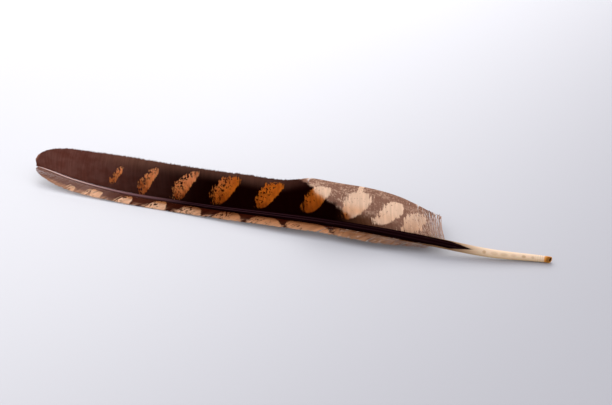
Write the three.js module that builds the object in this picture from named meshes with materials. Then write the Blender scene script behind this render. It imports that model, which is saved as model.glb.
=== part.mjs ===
// A turkey's wing feather, lying loose with its upper side showing.
//
// Units are millimetres and +Z is up. X runs along the feather, from the tip at -X to the end of
// the quill at +X, and +Y is the side of the wide vane. The feather rests on z = 0 in three
// places: the quill, the free edge of the narrow vane and the rolled-down edge of the wide vane.
// The origin is on that surface, under the middle of the feather's box.

import * as THREE from 'three';

// Driving dimensions.
const LENGTH = 320; // from the tip of the vanes to the end of the quill
const SHAFT_TIP = 0.0125; // where the shaft starts, as a share of the length
const VANE_BASE = 0.822; // where the last barbs leave the shaft, as a share of the length
const WEB_THICKNESS = 0.5;
const ROOT_GAP = 0.35; // between the shaft and the root of each web
const HOLE_WIDTH = 0.62; // the hole in the quill's end, as a share of the quill's thickness
const HOLE_DEPTH = 6;

// Values at eleven stations, spaced evenly from the tip to the end of the quill.
const SHAFT = {
  side: [-5.9, -11.9, -14.8, -14.7, -15.4, -15.4, -15.3, -15.5, -14.5, -11.3, -4.3],
  height: [8.0, 5.6, 4.1, 3.8, 4.6, 5.9, 6.9, 7.0, 5.8, 3.2, 1.8],
  thickness: [0.7, 1.1, 1.7, 2.4, 3.1, 3.8, 4.4, 4.9, 5.3, 4.8, 3.6],
};

// Each web leaves the shaft at rootLean degrees above the level and bends evenly, or with roll
// above 1 later and harder, to edgeLean at its free edge. Up to creaseReach mm from the shaft it
// stands crease degrees steeper.
const WIDE_VANE = {
  side: 1,
  width: [23.5, 25, 26.5, 27, 28.5, 34, 43.8, 43.2, 43.7, 43.7, 43.7],
  rootLean: [36.2, 32.5, 36.7, 34.6, 31.6, 23.9, 36.1, 20.7, 10.1, 10.1, 10.1],
  edgeLean: [26.5, 25, 25, 24, 20, 0, -61.6, -44.2, -72.9, -72.9, -72.9],
  roll: [1, 1, 1, 1, 1, 1.3, 1.9, 2.4, 2.4, 2.2, 2.2],
  crease: [0, 0, 0, 0, 0, 3, 42, 56, 30, 20, 20],
  creaseReach: [30, 30, 30, 30, 32, 32, 13, 6, 4, 4, 4],
  start: -0.003, // where the rounding of the tip starts, as a share of the feather's length
  cut: 0.001, // where the web itself starts
  tipLength: 0.213, // the rounded tip, as a share of the feather's length
  tipBluntness: 2.75,
  barbSlant: 0.3, // how far the last barbs lean to the tip for each millimetre outwards
};
const NARROW_VANE = {
  side: -1,
  width: [6.8, 8.2, 7.3, 7.3, 7.2, 7.6, 7.8, 8.6, 4.8, 4.5, 4.5],
  rootLean: [-12, -20, -22, -22, -22, -20, -20, -22, -26, -26, -26],
  edgeLean: [-26, -34, -36, -36, -36, -34, -34, -36, -40, -40, -40],
  roll: [1, 1, 1, 1, 1, 1, 1, 1, 1, 1, 1],
  crease: [0, 0, 0, 0, 0, 0, 0, 0, 0, 0, 0],
  creaseReach: [1, 1, 1, 1, 1, 1, 1, 1, 1, 1, 1],
  start: 0.009,
  cut: 0.01,
  tipLength: 0.07,
  tipBluntness: 2.6,
  barbSlant: 1.2,
};

// How finely the solids are faceted.
const SHAFT_RINGS = 56;
const SHAFT_SIDES = 14;
const ROWS = 60;
const WIDE_COLUMNS = 18;
const NARROW_COLUMNS = 4;
const ARC_STEPS = 40;

const UP = new THREE.Vector3(0, 0, 1);

// A smooth curve through a list of station values, read at share t of the length.
function along(values, t) {
  const stations = values.map((value, index) => new THREE.Vector2(index, value));
  return new THREE.SplineCurve(stations).getPoint(THREE.MathUtils.clamp(t, 0, 1)).y;
}

function shaftPoint(t) {
  const x = LENGTH * (t - 0.5);
  return new THREE.Vector3(x, along(SHAFT.side, t), along(SHAFT.height, t));
}

// The shaft's own directions at share t: along it, level across it and up out of it.
function shaftFrame(t) {
  const step = 0.002;
  const inside = THREE.MathUtils.clamp(t, step, 1 - step);
  const forward = shaftPoint(inside + step).sub(shaftPoint(inside - step)).normalize();
  const across = new THREE.Vector3().crossVectors(UP, forward).normalize();
  const upward = new THREE.Vector3().crossVectors(forward, across);
  return { forward, across, upward };
}

// The web's width at share t, with the tip rounded off.
function webWidth(vane, t) {
  const short = THREE.MathUtils.clamp(1 - (t - vane.start) / vane.tipLength, 0, 1);
  const rounding = (1 - short ** vane.tipBluntness) ** (1 / vane.tipBluntness);
  return along(vane.width, t) * rounding;
}

// The point of the web's middle surface at share t of the length, reach mm out from the shaft's
// centre line, measured over the bent web.
function webPoint(vane, t, reach) {
  const full = along(vane.width, t);
  const rootLean = along(vane.rootLean, t);
  const edgeLean = along(vane.edgeLean, t);
  const roll = along(vane.roll, t);
  const crease = along(vane.crease, t);
  const creaseReach = along(vane.creaseReach, t);
  const { across, upward } = shaftFrame(t);
  const step = reach / ARC_STEPS;
  let out = 0;
  let rise = 0;
  for (let i = 0; i < ARC_STEPS; i += 1) {
    const distance = (i + 0.5) * step;
    const bent = (distance / full) ** roll;
    const steeper = crease * Math.exp(-((distance / creaseReach) ** 3));
    const lean = THREE.MathUtils.degToRad(rootLean + (edgeLean - rootLean) * bent + steeper);
    out += step * Math.cos(lean);
    rise += step * Math.sin(lean);
  }
  return shaftPoint(t).addScaledVector(across, vane.side * out).addScaledVector(upward, rise);
}

// The web's upward normal at the same place.
function webNormal(vane, t, reach) {
  const dt = 0.001;
  const dr = 0.05;
  const lengthwise = webPoint(vane, t + dt, reach).sub(webPoint(vane, t - dt, reach));
  const outwards = webPoint(vane, t, reach + dr).sub(webPoint(vane, t, Math.max(reach - dr, 0)));
  return lengthwise.cross(outwards).multiplyScalar(vane.side).normalize();
}

function solid(positions, indices) {
  const geometry = new THREE.BufferGeometry();
  geometry.setAttribute('position', new THREE.Float32BufferAttribute(positions, 3));
  geometry.setIndex(indices);
  geometry.computeVertexNormals();
  return geometry;
}

// One web: a thin closed sheet from the shaft out to the ends of the barbs. Rows run across it,
// square to the shaft at the tip and slanting with the barbs at the base.
function webGeometry(vane, columns) {
  const upper = [];
  const lower = [];
  for (let i = 0; i <= ROWS; i += 1) {
    const part = i / ROWS;
    const rootT = vane.cut + (VANE_BASE - vane.cut) * part ** 1.25;
    for (let j = 0; j <= columns; j += 1) {
      const outPart = j / columns;
      const slant = (vane.barbSlant * part * outPart * along(vane.width, rootT)) / LENGTH;
      const t = rootT - slant;
      const root = rootT < SHAFT_TIP ? ROOT_GAP : along(SHAFT.thickness, t) / 2 + ROOT_GAP;
      const reach = root + (webWidth(vane, t) - root) * outPart;
      const middle = webPoint(vane, t, reach);
      const normal = webNormal(vane, t, reach);
      upper.push(middle.clone().addScaledVector(normal, WEB_THICKNESS / 2));
      lower.push(middle.clone().addScaledVector(normal, -WEB_THICKNESS / 2));
    }
  }
  const row = columns + 1;
  const under = upper.length;
  const indices = [];
  const quad = (a, b, c, d) => {
    if (vane.side > 0) indices.push(a, b, c, a, c, d);
    else indices.push(a, c, b, a, d, c);
  };
  for (let i = 0; i < ROWS; i += 1) {
    for (let j = 0; j < columns; j += 1) {
      const a = i * row + j;
      quad(a, a + row, a + row + 1, a + 1);
      quad(under + a, under + a + 1, under + a + row + 1, under + a + row);
    }
    const root = i * row;
    const edge = root + columns;
    quad(root, under + root, under + root + row, root + row);
    quad(edge, edge + row, under + edge + row, under + edge);
  }
  const last = ROWS * row;
  for (let j = 0; j < columns; j += 1) {
    quad(j, j + 1, under + j + 1, under + j);
    quad(last + j, under + last + j, under + last + j + 1, last + j + 1);
  }
  const positions = [...upper, ...lower].flatMap((point) => point.toArray());
  return solid(positions, indices);
}

// The shaft: a round, tapering rod along the centre line, with a blind hole in the quill's end.
function shaftGeometry() {
  const rings = [];
  for (let i = 0; i <= SHAFT_RINGS; i += 1) {
    const t = SHAFT_TIP + ((1 - SHAFT_TIP) * i) / SHAFT_RINGS;
    rings.push({ t, radius: along(SHAFT.thickness, t) / 2 });
  }
  const holeRadius = (HOLE_WIDTH * along(SHAFT.thickness, 1)) / 2;
  rings.push({ t: 1, radius: holeRadius });
  rings.push({ t: 1 - HOLE_DEPTH / LENGTH, radius: holeRadius });
  const positions = [];
  for (const { t, radius } of rings) {
    const centre = shaftPoint(t);
    const { across, upward } = shaftFrame(t);
    for (let k = 0; k < SHAFT_SIDES; k += 1) {
      const angle = (2 * Math.PI * k) / SHAFT_SIDES;
      const point = centre.clone().addScaledVector(across, radius * Math.cos(angle));
      positions.push(...point.addScaledVector(upward, radius * Math.sin(angle)).toArray());
    }
  }
  const tip = rings.length * SHAFT_SIDES;
  const holeEnd = tip + 1;
  positions.push(...shaftPoint(SHAFT_TIP).toArray());
  positions.push(...shaftPoint(1 - HOLE_DEPTH / LENGTH).toArray());
  const indices = [];
  const lastRing = (rings.length - 1) * SHAFT_SIDES;
  for (let k = 0; k < SHAFT_SIDES; k += 1) {
    const next = (k + 1) % SHAFT_SIDES;
    indices.push(tip, next, k);
    for (let i = 0; i < rings.length - 1; i += 1) {
      const a = i * SHAFT_SIDES;
      const b = a + SHAFT_SIDES;
      indices.push(a + k, a + next, b + next, a + k, b + next, b + k);
    }
    indices.push(lastRing + k, lastRing + next, holeEnd);
  }
  return solid(positions, indices);
}

function piece(name, geometry, colour, roughness) {
  const material = new THREE.MeshStandardMaterial({ color: colour, roughness, metalness: 0 });
  const mesh = new THREE.Mesh(geometry, material);
  mesh.name = name;
  return mesh;
}

const feather = new THREE.Group();
feather.add(piece('shaft', shaftGeometry(), 0x6b5346, 0.4));
feather.add(piece('wide_vane', webGeometry(WIDE_VANE, WIDE_COLUMNS), 0x4b3028, 0.7));
feather.add(piece('narrow_vane', webGeometry(NARROW_VANE, NARROW_COLUMNS), 0x78604f, 0.7));

export default feather;
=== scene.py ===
"""A turkey's wing feather, lying loose with its upper side showing.

The script is laid out as an add-on: property groups hold the sizes, colours and lights, one
operator makes each piece, and main() calls them in order. Places are in metres in the frame's
own axes: X runs from the tip of the feather to the end of the quill, +Y is the side of the wide
vane and +Z is up. Places on a vane are also given flat, as if it were pressed in a book: along
the feather from its tip, and outwards from the middle of the shaft.
"""

import math
from typing import NamedTuple

import bpy
import numpy as np
from bpy.props import FloatProperty, FloatVectorProperty, IntProperty, PointerProperty
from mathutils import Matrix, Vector


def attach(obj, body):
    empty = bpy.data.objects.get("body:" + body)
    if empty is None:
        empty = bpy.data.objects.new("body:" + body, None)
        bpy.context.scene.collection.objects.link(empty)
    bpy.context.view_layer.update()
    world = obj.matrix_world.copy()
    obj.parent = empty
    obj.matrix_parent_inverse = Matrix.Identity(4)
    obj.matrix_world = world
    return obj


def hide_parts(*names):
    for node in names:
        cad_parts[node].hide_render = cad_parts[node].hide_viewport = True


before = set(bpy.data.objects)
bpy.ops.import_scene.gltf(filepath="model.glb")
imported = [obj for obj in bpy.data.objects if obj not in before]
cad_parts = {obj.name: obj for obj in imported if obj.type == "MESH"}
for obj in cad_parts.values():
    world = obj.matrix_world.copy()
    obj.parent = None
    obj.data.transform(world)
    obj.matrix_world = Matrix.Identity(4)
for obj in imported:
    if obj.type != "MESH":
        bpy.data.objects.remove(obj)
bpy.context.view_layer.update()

bl_info = {
    "name": "Turkey wing feather",
    "version": (1, 0, 0),
    "blender": (4, 5, 0),
    "location": "3D View > Sidebar > Feather",
    "description": "Makes a barred wing feather from its shaft, its two vanes and its loose barbs",
    "category": "Add Mesh",
}

MM = 0.001

# The feather's own shape, at eleven stations spaced evenly from the tip to the end of the quill.
LENGTH = 320 * MM
SHAFT_SIDE = (-5.9, -11.9, -14.8, -14.7, -15.4, -15.4, -15.3, -15.5, -14.5, -11.3, -4.3)
SHAFT_HEIGHT = (8.0, 5.6, 4.1, 3.8, 4.6, 5.9, 6.9, 7.0, 5.8, 3.2, 1.8)
SHAFT_THICKNESS = (0.7, 1.1, 1.7, 2.4, 3.1, 3.8, 4.4, 4.9, 5.3, 4.8, 3.6)
SHAFT_START = 4 * MM
BARB_ROOT = 0.12  # where a barb leaves the shaft's centre line, as a share of the half thickness
ARC_STEPS = 40
TURN = math.radians(38)  # how far the shaft is rolled towards the narrow vane
QUILL_TURN = math.radians(22)  # how much further the bare quill is rolled
QUILL_TURN_START = 225  # millimetres along
QUILL_TURN_LENGTH = 60

# The flat sheet that the barbs are laid on, and how far it runs past the vane.
SHEET_START = -2 * MM
SHEET_END = 272 * MM
SHEET_LOW = -0.02
SHEET_HIGH = 1.1
SHEET_ROWS = 190
SHEET_COLUMNS = 48

# Slits where neighbouring barbs have come apart: how far along the shaft their roots are, the
# share of the barb where the slit starts, how far each side is pushed, how many millimetres of
# barbs take part, and how far they stand up.
WIDE_SLITS = (
    (30, 0.84, 0.3, 1.6, 0.1),
    (96, 0.9, 0.25, 3, 0.1),
    (181, 0.5, 0.45, 4, 0.5),
    (214, 0.7, 0.6, 3, 0.3),
    (236, 0.75, 0.5, 2.5, 0.3),
    (245, 0.45, 0.9, 3, 0.4),
    (256, 0.25, 0.9, 2, 0.3),
)
NARROW_SLITS = (
    (60, 0.6, 0.4, 3, 0.1),
    (128, 0.6, 0.5, 3, 0.1),
    (197, 0.3, 0.9, 3, 0.4),
    (226, 0.3, 0.8, 3, 0.3),
    (246, 0.2, 0.8, 2, 0.3),
)

# Pale bars across each vane, in millimetres on the flat vane: how far out from the shaft's middle
# the bar starts and ends, how far along the feather its middle is and half its width there, how
# far its outer end leans to the quill, how far both ends bend to the quill, and the share by
# which it widens outwards.
WIDE_BARS = (
    (4.2, 18.3, 56.2, 2.0, 0.4, 0.3, -0.1),
    (0.6, 21.8, 77.4, 3.6, 1.4, 1.6, 0.0),
    (1.6, 24.2, 100.6, 4.7, 1.9, 1.8, -0.05),
    (2.8, 25.6, 126.2, 6.2, 1.4, 1.2, 0.1),
    (4.4, 28.5, 152.8, 6.0, 1.2, 1.0, 0.2),
    (4.4, 22.5, 185.8, 6.3, 3.0, 0.0, 0.1),
    (4.0, 25.5, 209.6, 6.5, 2.4, -1.0, 0.05),
    (16.0, 40.0, 207.6, 1.7, -3.2, 0.0, -0.2),
    (4.0, 25.5, 229.0, 5.3, 1.8, -1.2, -0.05),
    (1.6, 22.5, 244.2, 5.3, 0.8, 0.0, -0.2),
)
NARROW_BARS = (
    (4.4, 9.5, 33.5, 2.2, 0.0, 0.0, 0.0),
    (2.6, 10.5, 47.8, 6.0, -1.5, 0.0, 0.1),
    (1.6, 12.5, 67.6, 5.2, -3.6, 0.0, 0.5),
    (1.2, 12.5, 89.6, 5.9, -2.6, 0.0, 0.4),
    (1.2, 13.0, 111.6, 7.8, -1.4, 0.0, 0.4),
    (1.2, 13.0, 135.2, 9.2, -1.2, 0.0, 0.4),
    (1.4, 13.0, 160.0, 9.8, 2.0, 0.0, 0.3),
    (1.8, 13.0, 187.0, 12.5, 5.0, 0.0, 0.0),
    (2.8, 13.0, 212.0, 9.5, 3.0, 0.0, 0.0),
    (3.4, 13.0, 231.5, 7.0, 2.0, 0.0, 0.0),
    (2.5, 12.0, 251.0, 7.0, 2.0, 0.0, 0.0),
)

MIX_FACTOR, MIX_FIRST, MIX_SECOND, MIX_RESULT = 0, 6, 7, 2  # sockets of a colour Mix node


class Vane(NamedTuple):
    """One side of the feather: how wide its web is, and how it leans at the root and the edge."""

    side: int
    width: tuple
    root_lean: tuple
    edge_lean: tuple
    roll: tuple
    crease: tuple
    crease_reach: tuple


WIDE_VANE = Vane(
    side=1,
    width=(23.5, 25, 26.5, 27, 28.5, 34, 43.8, 43.2, 43.7, 43.7, 43.7),
    root_lean=(36.2, 32.5, 36.7, 34.6, 31.6, 23.9, 36.1, 20.7, 10.1, 10.1, 10.1),
    edge_lean=(26.5, 25, 25, 24, 20, 0, -61.6, -44.2, -72.9, -72.9, -72.9),
    roll=(1, 1, 1, 1, 1, 1.3, 1.9, 2.4, 2.4, 2.2, 2.2),
    crease=(0, 0, 0, 0, 0, 3, 42, 56, 30, 20, 20),
    crease_reach=(30, 30, 30, 30, 32, 32, 13, 6, 4, 4, 4),
)
NARROW_VANE = Vane(
    side=-1,
    width=(6.8, 8.2, 7.3, 7.3, 7.2, 7.6, 7.8, 8.6, 4.8, 4.5, 4.5),
    root_lean=(-12, -20, -22, -22, -22, -20, -20, -22, -26, -26, -26),
    edge_lean=(-26, -34, -36, -36, -36, -34, -34, -36, -40, -40, -40),
    roll=(1,) * 11,
    crease=(0,) * 11,
    crease_reach=(1,) * 11,
)


# Sizes, colours and lights that a user would change.


class FEATHER_PG_sizes(bpy.types.PropertyGroup):
    """Sizes of the barbs and of the quill's details."""

    wide_barbs: IntProperty(
        name="Wide vane barbs", description="Barbs on the wide side of the shaft",
        default=560, min=60,
    )
    narrow_barbs: IntProperty(
        name="Narrow vane barbs", description="Barbs on the narrow side of the shaft",
        default=500, min=60,
    )
    loose_barbs: IntProperty(
        name="Loose barbs", description="Downy barbs on each side at the base of the vanes",
        default=34, min=4,
    )
    barb_depth: FloatProperty(
        name="Barb depth", description="Half the depth of a barb at its root",
        default=0.13 * MM, min=0.02 * MM, unit="LENGTH", precision=5,
    )
    barb_tilt: FloatProperty(
        name="Barb tilt", description="How far one edge of a barb lies over the next barb",
        default=0.05 * MM, min=0, unit="LENGTH", precision=5,
    )
    hole_depth: FloatProperty(
        name="Hole depth", description="Depth of the hole in the quill's end",
        default=6 * MM, min=1 * MM, unit="LENGTH", precision=4,
    )


def tint(name, description, default):
    """A colour that a user can change."""
    return FloatVectorProperty(
        name=name, description=description, default=default, size=3, min=0, max=1, subtype="COLOR"
    )


class FEATHER_PG_colours(bpy.types.PropertyGroup):
    """Colours of the webs and of the shaft."""

    ground: tint("Ground", "Brown between the bars, near the tip", (0.095, 0.029, 0.020))
    deep: tint("Deep ground", "Darkest brown of the wide vane", (0.0035, 0.0003, 0.0002))
    # Grey-brown of the mottling, lightened with painted sheen where the web faces up.
    mottle_and_sheen: tint("Mottled ground", "Grey-brown towards the base", (0.205, 0.100, 0.068))
    bar: tint("Bars", "Orange-buff bars in the dark part of the vane", (0.66, 0.265, 0.085))
    deep_bar: tint("Deep bars", "Deeper orange where the web is darkest", (0.42, 0.120, 0.010))
    # Also the lit side of the bars beyond the mottling line, as painted light.
    buff: tint("Pale bars", "Buff bars and specks towards the base", (0.72, 0.48, 0.335))
    glow: tint("Light through a bar", "Light that comes through the web", (1.0, 0.42, 0.12))
    horn: tint("Dark horn", "Upper side of the shaft along the vanes", (0.004, 0.0006, 0.0008))
    quill: tint("Quill", "Ivory of the bare quill", (0.72, 0.52, 0.34))


class FEATHER_PG_stage(bpy.types.PropertyGroup):
    """Floor, lights and camera."""

    back_light: FloatProperty(
        name="Back light", description="Power of the large soft light behind the feather, in watts",
        default=13, min=0,
    )
    front_light: FloatProperty(
        name="Front light", description="Power of the weak light beside the camera, in watts",
        default=2.2, min=0,
    )
    sky: FloatProperty(
        name="Sky", description="Strength of the even light from all round", default=1.16, min=0
    )
    azimuth: FloatProperty(
        name="Camera azimuth", description="How far the camera stands round towards the quill",
        default=math.radians(21.9), subtype="ANGLE",
    )
    elevation: FloatProperty(
        name="Camera elevation", description="How far the camera looks down",
        default=math.radians(24), subtype="ANGLE",
    )
    distance: FloatProperty(
        name="Camera distance", description="From the camera to the point it looks at",
        default=0.943, min=0.2, unit="LENGTH",
    )
    lens: FloatProperty(
        name="Lens", description="Focal length in millimetres on a frame 36 mm wide",
        default=94.5, min=10,
    )


# Sums on node sockets.


def node_sum(operation, swapped=False):
    """A method of Value that adds one Math node."""

    def method(self, other):
        pair = (other, self) if swapped else (self, other)
        return self.nodes.math(operation, *pair)

    return method


class Value:
    """A number that varies from place to place, so that sums of it read as plain arithmetic."""

    def __init__(self, nodes, socket):
        self.nodes = nodes
        self.socket = socket

    def __abs__(self):
        return self.nodes.math("ABSOLUTE", self)

    __add__ = node_sum("ADD")
    __radd__ = node_sum("ADD", swapped=True)
    __sub__ = node_sum("SUBTRACT")
    __rsub__ = node_sum("SUBTRACT", swapped=True)
    __mul__ = node_sum("MULTIPLY")
    __rmul__ = node_sum("MULTIPLY", swapped=True)
    __truediv__ = node_sum("DIVIDE")
    __rtruediv__ = node_sum("DIVIDE", swapped=True)
    __pow__ = node_sum("POWER")
    __gt__ = node_sum("GREATER_THAN")
    __lt__ = node_sum("LESS_THAN")


class Nodes:
    """Adds nodes to one tree, of a material or of a shape, and joins them up."""

    def __init__(self, tree):
        self.tree = tree

    def add(self, kind, settings=None, values=None):
        """A node of this kind, with its settings made first and its sockets filled or linked."""
        node = self.tree.nodes.new(kind)
        for name, setting in (settings or {}).items():
            setattr(node, name, setting)
        for socket, value in (values or {}).items():
            self.feed(node.inputs[socket], value)
        return node

    def made(self, kind, values=None, settings=None):
        """The first output of a new node."""
        return self.add(kind, settings, values).outputs[0]

    def feed(self, socket, value):
        """Links a socket to a value or another socket, or sets it to a constant."""
        if isinstance(value, Value):
            value = value.socket
        if isinstance(value, bpy.types.NodeSocket):
            self.tree.links.new(value, socket)
        else:
            socket.default_value = value

    def value(self, node, output=0):
        return Value(self, node.outputs[output])

    def math(self, operation, *values):
        node = self.add("ShaderNodeMath", {"operation": operation}, dict(enumerate(values)))
        return self.value(node)

    def smooth(self, value, low, high, from_value=0.0, to_value=1.0):
        """Goes smoothly from from_value at low to to_value at high."""
        settings = {"interpolation_type": "SMOOTHSTEP"}
        values = {0: value, 1: low, 2: high, 3: from_value, 4: to_value}
        return self.value(self.add("ShaderNodeMapRange", settings, values))

    def vector(self, x=0.0, y=0.0, z=0.0):
        return self.made("ShaderNodeCombineXYZ", {0: x, 1: y, 2: z})

    def noise(self, place, scale, detail, roughness=0.5):
        """Smooth noise about 0.5 at a place, which is a vector socket."""
        values = {"Vector": place, "Scale": scale, "Detail": detail, "Roughness": roughness}
        return self.value(self.add("ShaderNodeTexNoise", {"noise_dimensions": "3D"}, values))

    def cloud(self, x, y, z, detail=2, roughness=0.5):
        """Smooth noise about 0.5 over three numbers."""
        return self.noise(self.vector(x, y, z), 1, detail, roughness)

    def scatter(self, value):
        """A number from 0 to 1 that jumps with every change of value."""
        settings = {"noise_dimensions": "1D"}
        return self.value(self.add("ShaderNodeTexWhiteNoise", settings, {"W": value}))

    def either(self, first, second):
        return self.math("MAXIMUM", first, second)


class Finish(Nodes):
    """One material: its nodes, and the shader that they end in."""

    def __init__(self, name):
        self.material = bpy.data.materials.new(name)
        self.material.use_nodes = True
        super().__init__(self.material.node_tree)
        self.tree.nodes.clear()

    def measure(self, name):
        """A number stored on the piece's points."""
        settings = {"attribute_type": "GEOMETRY", "attribute_name": name}
        return self.value(self.add("ShaderNodeAttribute", settings), "Fac")

    def flat_place(self):
        """Millimetres along the feather and out from the shaft's middle, and the barb's number."""
        return self.measure("along") * TO_MM, self.measure("reach") * TO_MM, self.measure("barb")

    def height(self):
        """How far the surface faces up, from -1 to 1."""
        normal = self.add("ShaderNodeNewGeometry").outputs["Normal"]
        return self.value(self.add("ShaderNodeSeparateXYZ", values={0: normal}), 2)

    def place(self):
        """The place on the piece, in metres."""
        return self.add("ShaderNodeTexCoord").outputs["Object"]

    def paint(self, cover, first, second):
        """The first colour with the second over it. Each is a plain colour or a socket."""
        node = self.add("ShaderNodeMix", {"data_type": "RGBA"}, {MIX_FACTOR: cover})
        for socket, colour in ((MIX_FIRST, first), (MIX_SECOND, second)):
            linked = isinstance(colour, bpy.types.NodeSocket)
            self.feed(node.inputs[socket], colour if linked else (*colour, 1.0))
        return node.outputs[MIX_RESULT]

    def coats(self, colour, *layers):
        """A colour with others laid over it in turn, each given as its cover and its colour."""
        for cover, second in layers:
            colour = self.paint(cover, colour, second)
        return colour

    def relief(self, height, depth, strength):
        """A normal from a height from 0 to 1, where depth is the height of 1 in metres."""
        values = {"Height": height, "Distance": depth, "Strength": strength}
        return self.made("ShaderNodeBump", values)

    def surface(self, **sockets):
        names = {name.replace("_", " "): value for name, value in sockets.items()}
        return self.made("ShaderNodeBsdfPrincipled", names)

    def matt_barbs(self, colour):
        """A matt surface with a ridge along the middle of each barb."""
        ridge = 1 - abs(self.measure("side"))
        return self.surface(
            Base_Color=colour, Roughness=0.7, Specular_IOR_Level=0.0,
            Normal=self.relief(ridge, BARB_RELIEF, 0.4),
        )

    def end(self, shader):
        output = self.add("ShaderNodeOutputMaterial")
        self.tree.links.new(shader, output.inputs["Surface"])
        return self.material

    def end_thin(self, shader, glow, share):
        """Ends the material so that a share of the light comes through, in the colour glow."""
        through = self.made("ShaderNodeBsdfTranslucent", {"Color": (*glow, 1.0)})
        return self.end(self.made("ShaderNodeMixShader", {0: share, 1: shader, 2: through}))


# The feather's shape as formulas, for many places at once.


def along(values, share):
    """A list of evenly spaced station values read as one smooth curve, at a share of the length."""
    values = np.asarray(values, float)
    last = len(values) - 1
    spot = np.clip(share, 0, 1) * last
    left = np.minimum(np.floor(spot).astype(int), last - 1)
    part = spot - left
    before = values[np.maximum(left - 1, 0)]
    start = values[left]
    end = values[left + 1]
    after = values[np.minimum(left + 2, last)]
    slope_in = (end - before) / 2
    slope_out = (after - start) / 2
    cubic = 2 * start - 2 * end + slope_in + slope_out
    square = 3 * end - 3 * start - 2 * slope_in - slope_out
    return ((cubic * part + square) * part + slope_in) * part + start


def unit(vectors):
    return vectors / np.linalg.norm(vectors, axis=-1, keepdims=True)


def shaft_point(share):
    side = along(SHAFT_SIDE, share) * MM
    height = along(SHAFT_HEIGHT, share) * MM
    return np.stack([LENGTH * (share - 0.5), side, height], axis=-1)


def shaft_frame(share):
    """The shaft's own directions: level across it, and up out of it."""
    step = 0.002
    inside = np.clip(share, step, 1 - step)
    forward = unit(shaft_point(inside + step) - shaft_point(inside - step))
    across = unit(np.cross((0, 0, 1), forward))
    return across, np.cross(forward, across)


def web_point(vane, share, reach):
    """Where the web's middle surface is, reach metres out from the shaft's centre line."""
    width = along(vane.width, share) * MM
    root_lean = along(vane.root_lean, share)
    edge_lean = along(vane.edge_lean, share)
    roll = along(vane.roll, share)
    crease = along(vane.crease, share)
    crease_reach = along(vane.crease_reach, share) * MM
    across, upward = shaft_frame(share)
    step = reach / ARC_STEPS
    out = np.zeros_like(reach)
    rise = np.zeros_like(reach)
    for index in range(ARC_STEPS):
        distance = np.maximum((index + 0.5) * step, 0)
        bent = (distance / width) ** roll
        steeper = crease * np.exp(-((distance / crease_reach) ** 3))
        lean = np.radians(root_lean + (edge_lean - root_lean) * bent + steeper)
        out += step * np.cos(lean)
        rise += step * np.sin(lean)
    return shaft_point(share) + vane.side * out[..., None] * across + rise[..., None] * upward


def link_piece(name, mesh):
    piece = bpy.data.objects.new(name, mesh)
    bpy.context.scene.collection.objects.link(piece)
    return piece


def new_piece(name, points, faces):
    """A mesh piece at the origin, with its place in its points."""
    mesh = bpy.data.meshes.new(name)
    mesh.from_pydata([tuple(point) for point in points], [], faces)
    mesh.update()
    return link_piece(name, mesh)


def store(piece, name, values, kind="FLOAT"):
    """Stores a number, or with kind FLOAT_VECTOR a direction, on each point of a piece."""
    attribute = piece.data.attributes.new(name, kind, "POINT")
    slot = "value" if kind == "FLOAT" else "vector"
    attribute.data.foreach_set(slot, np.asarray(values, np.float32).ravel())


def grid_faces(rows, columns):
    """Faces of a grid of rows by columns of points."""
    faces = []
    for row in range(rows - 1):
        for column in range(columns - 1):
            corner = row * columns + column
            faces.append((corner, corner + columns, corner + columns + 1, corner + 1))
    return faces


def guide_sheet(vane, name):
    """The web's middle surface as a sheet, with a flat map of it, for barbs to be laid on."""
    x = np.linspace(SHEET_START, SHEET_END, SHEET_ROWS)
    out = np.linspace(SHEET_LOW, SHEET_HIGH, SHEET_COLUMNS)
    share, out = np.meshgrid(x / LENGTH, out, indexing="ij")
    root = along(SHAFT_THICKNESS, share) / 2 * BARB_ROOT * MM
    reach = root + (along(vane.width, share) * MM - root) * out
    points = web_point(vane, share, reach)
    lengthwise = np.gradient(points, axis=0)
    outwards = np.gradient(points, axis=1)
    upward = unit(np.cross(lengthwise, outwards) * vane.side)
    sheet = new_piece(name, points.reshape(-1, 3), grid_faces(SHEET_ROWS, SHEET_COLUMNS))
    store(sheet, "upward", upward.reshape(-1, 3), "FLOAT_VECTOR")
    store(sheet, "reach", reach.ravel())
    flat = sheet.data.uv_layers.new(name="flat")
    rows, columns = np.divmod(np.arange(SHEET_ROWS * SHEET_COLUMNS), SHEET_COLUMNS)
    places = np.stack([rows / (SHEET_ROWS - 1), columns / (SHEET_COLUMNS - 1)], axis=-1)
    corners = np.zeros(len(sheet.data.loops), int)
    sheet.data.loops.foreach_get("vertex_index", corners)
    flat.data.foreach_set("uv", places[corners].astype(np.float32).ravel())
    return sheet


# Barbs. One tree of nodes lays any number of them on a guide sheet.

BARB_INPUTS = {  # whole numbers are whole in the tree too
    "Barbs": 500,
    "Segments": 22,
    "First root": 0.0,
    "Last root": 259.5 * MM,
    "Crowding": 1.2,
    "Cover": 1.3,
    "Depth": 0.12 * MM,
    "Tilt": 0.05 * MM,
    "Sweep at tip": 9 * MM,
    "Sweep at base": 13 * MM,
    "Bend": 0.65,
    "Fan": 12 * MM,
    "Tip start": -2.4 * MM,
    "Tip cut": -1.2 * MM,
    "Tip rounding": 3.1 * MM,
    "Tip length": 68.16 * MM,
    "Tip bluntness": 2.75,
    "Reach": 1.025,
    "Ragged ends": 0.03,
    "Wave": 0.06 * MM,
    "Loose from": 238 * MM,
    "Loose wave": 1.5 * MM,
    "Loose lift": 1 * MM,
    "Seed": 1,
}
BAKE_ROWS = 2  # the bake's map has the barbs in this many rows, with their undersides beside them
RING_CROWDING = 1.3  # a barb's rings crowd towards its tip
ENDS_FRAY = (170 * MM, 215 * MM)  # where the barbs' ends start to be more ragged


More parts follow.
